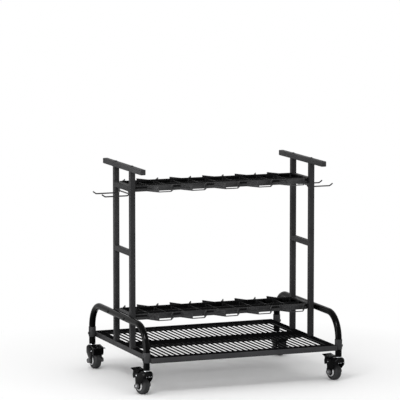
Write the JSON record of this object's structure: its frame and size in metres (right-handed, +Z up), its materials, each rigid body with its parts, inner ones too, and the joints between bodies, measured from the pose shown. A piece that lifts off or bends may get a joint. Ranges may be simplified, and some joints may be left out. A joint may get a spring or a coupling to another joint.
{
  "type": "freestanding garden tool rack",
  "caption": "Rolling garden tool rack: slotted tray on braked swivel casters, bent tube arches, ladder ends with top bars, moulded handle grids and side hooks.",
  "frame": {"origin": "on the floor under the middle of the tray", "axes": "+X along the rack to its right-hand end, +Y to its back, +Z up"},
  "size_m": [1.0182, 0.695, 0.8944],
  "materials": {
    "coated_steel": "charcoal satin powder coat",
    "coated_tube": "black semi-gloss powder coat",
    "grid_plastic": "fine moulded grain",
    "cap_plastic": "satin",
    "hook_wire": "dark coated wire",
    "dark_bolt": "blackened steel",
    "zinc_steel": "zinc plated",
    "tyre_rubber": "matte rubber",
    "core_plastic": "light grey moulding",
    "caster_plastic": "black glass-filled moulding"
  },
  "bodies": {
    "frame": {"base_tray": "coated_steel", "tray_stiffener": "coated_steel", "lower_grid": "grid_plastic", "upper_grid": "grid_plastic", "arch_left": "coated_tube", "rung_lower_left": "coated_steel", "rung_middle_left": "coated_steel", "rung_upper_left": "coated_steel", "top_bar_left": "coated_steel", "hook_left": "hook_wire", "arch_right": "coated_tube", "rung_lower_right": "coated_steel", "rung_middle_right": "coated_steel", "rung_upper_right": "coated_steel", "top_bar_right": "coated_steel", "hook_right": "hook_wire", "upright_front_left": "coated_steel", "end_cap_front_left": "cap_plastic", "bolt_arch_front_left": "dark_bolt", "bolt_sleeve_front_left": "dark_bolt", "bolt_top_front_left": "dark_bolt", "caster_stem_front_left": "zinc_steel", "upright_front_right": "coated_steel", "end_cap_front_right": "cap_plastic", "bolt_arch_front_right": "dark_bolt", "bolt_sleeve_front_right": "dark_bolt", "bolt_top_front_right": "dark_bolt", "caster_stem_front_right": "zinc_steel", "upright_rear_left": "coated_steel", "end_cap_rear_left": "cap_plastic", "bolt_arch_rear_left": "dark_bolt", "bolt_sleeve_rear_left": "dark_bolt", "bolt_top_rear_left": "dark_bolt", "caster_stem_rear_left": "zinc_steel", "upright_rear_right": "coated_steel", "end_cap_rear_right": "cap_plastic", "bolt_arch_rear_right": "dark_bolt", "bolt_sleeve_rear_right": "dark_bolt", "bolt_top_rear_right": "dark_bolt", "caster_stem_rear_right": "zinc_steel"},
    "swivel_front_left": {"caster_fork_front_left": "caster_plastic", "caster_axle_front_left": "zinc_steel"},
    "wheel_front_left": {"caster_tyre_front_left": "tyre_rubber", "caster_core_front_left": "core_plastic"},
    "pedal_front_left": {"caster_pedal_front_left": "caster_plastic"},
    "swivel_front_right": {"caster_fork_front_right": "caster_plastic", "caster_axle_front_right": "zinc_steel"},
    "wheel_front_right": {"caster_tyre_front_right": "tyre_rubber", "caster_core_front_right": "core_plastic"},
    "pedal_front_right": {"caster_pedal_front_right": "caster_plastic"},
    "swivel_rear_left": {"caster_fork_rear_left": "caster_plastic", "caster_axle_rear_left": "zinc_steel"},
    "wheel_rear_left": {"caster_tyre_rear_left": "tyre_rubber", "caster_core_rear_left": "core_plastic"},
    "pedal_rear_left": {"caster_pedal_rear_left": "caster_plastic"},
    "swivel_rear_right": {"caster_fork_rear_right": "caster_plastic", "caster_axle_rear_right": "zinc_steel"},
    "wheel_rear_right": {"caster_tyre_rear_right": "tyre_rubber", "caster_core_rear_right": "core_plastic"},
    "pedal_rear_right": {"caster_pedal_rear_right": "caster_plastic"}
  },
  "joints": [
    {"name": "swivel_turn_front_left", "type": "hinge", "parent": "frame", "child": "swivel_front_left", "pos_m": [-0.4173, -0.3245, 0.085], "axis": [0, 0, 1], "continuous": true},
    {"name": "wheel_spin_front_left", "type": "hinge", "parent": "swivel_front_left", "child": "wheel_front_left", "pos_m": [-0.42502, -0.29758, 0.0345], "axis": [-0.9613, -0.2756, 0], "continuous": true},
    {"name": "pedal_press_front_left", "type": "hinge", "parent": "swivel_front_left", "child": "pedal_front_left", "pos_m": [-0.42777, -0.28797, 0.076], "axis": [-0.9613, -0.2756, 0], "range_deg": [0, 12]},
    {"name": "swivel_turn_front_right", "type": "hinge", "parent": "frame", "child": "swivel_front_right", "pos_m": [0.4173, -0.3245, 0.085], "axis": [0, 0, 1], "continuous": true},
    {"name": "wheel_spin_front_right", "type": "hinge", "parent": "swivel_front_right", "child": "wheel_front_right", "pos_m": [0.40958, -0.29758, 0.0345], "axis": [-0.9613, -0.2756, 0], "continuous": true},
    {"name": "pedal_press_front_right", "type": "hinge", "parent": "swivel_front_right", "child": "pedal_front_right", "pos_m": [0.40683, -0.28797, 0.076], "axis": [-0.9613, -0.2756, 0], "range_deg": [0, 12]},
    {"name": "swivel_turn_rear_left", "type": "hinge", "parent": "frame", "child": "swivel_rear_left", "pos_m": [-0.4173, 0.3245, 0.085], "axis": [0, 0, 1], "continuous": true},
    {"name": "wheel_spin_rear_left", "type": "hinge", "parent": "swivel_rear_left", "child": "wheel_rear_left", "pos_m": [-0.41486, 0.29661, 0.0345], "axis": [0.9962, 0.0872, 0], "continuous": true},
    {"name": "pedal_press_rear_left", "type": "hinge", "parent": "swivel_rear_left", "child": "pedal_rear_left", "pos_m": [-0.41399, 0.28664, 0.076], "axis": [0.9962, 0.0872, 0], "range_deg": [-12, 0]},
    {"name": "swivel_turn_rear_right", "type": "hinge", "parent": "frame", "child": "swivel_rear_right", "pos_m": [0.4173, 0.3245, 0.085], "axis": [0, 0, 1], "continuous": true},
    {"name": "wheel_spin_rear_right", "type": "hinge", "parent": "swivel_rear_right", "child": "wheel_rear_right", "pos_m": [0.41974, 0.29661, 0.0345], "axis": [0.9962, 0.0872, 0], "continuous": true},
    {"name": "pedal_press_rear_right", "type": "hinge", "parent": "swivel_rear_right", "child": "pedal_rear_right", "pos_m": [0.42061, 0.28664, 0.076], "axis": [0.9962, 0.0872, 0], "range_deg": [0, 12]}
  ]
}
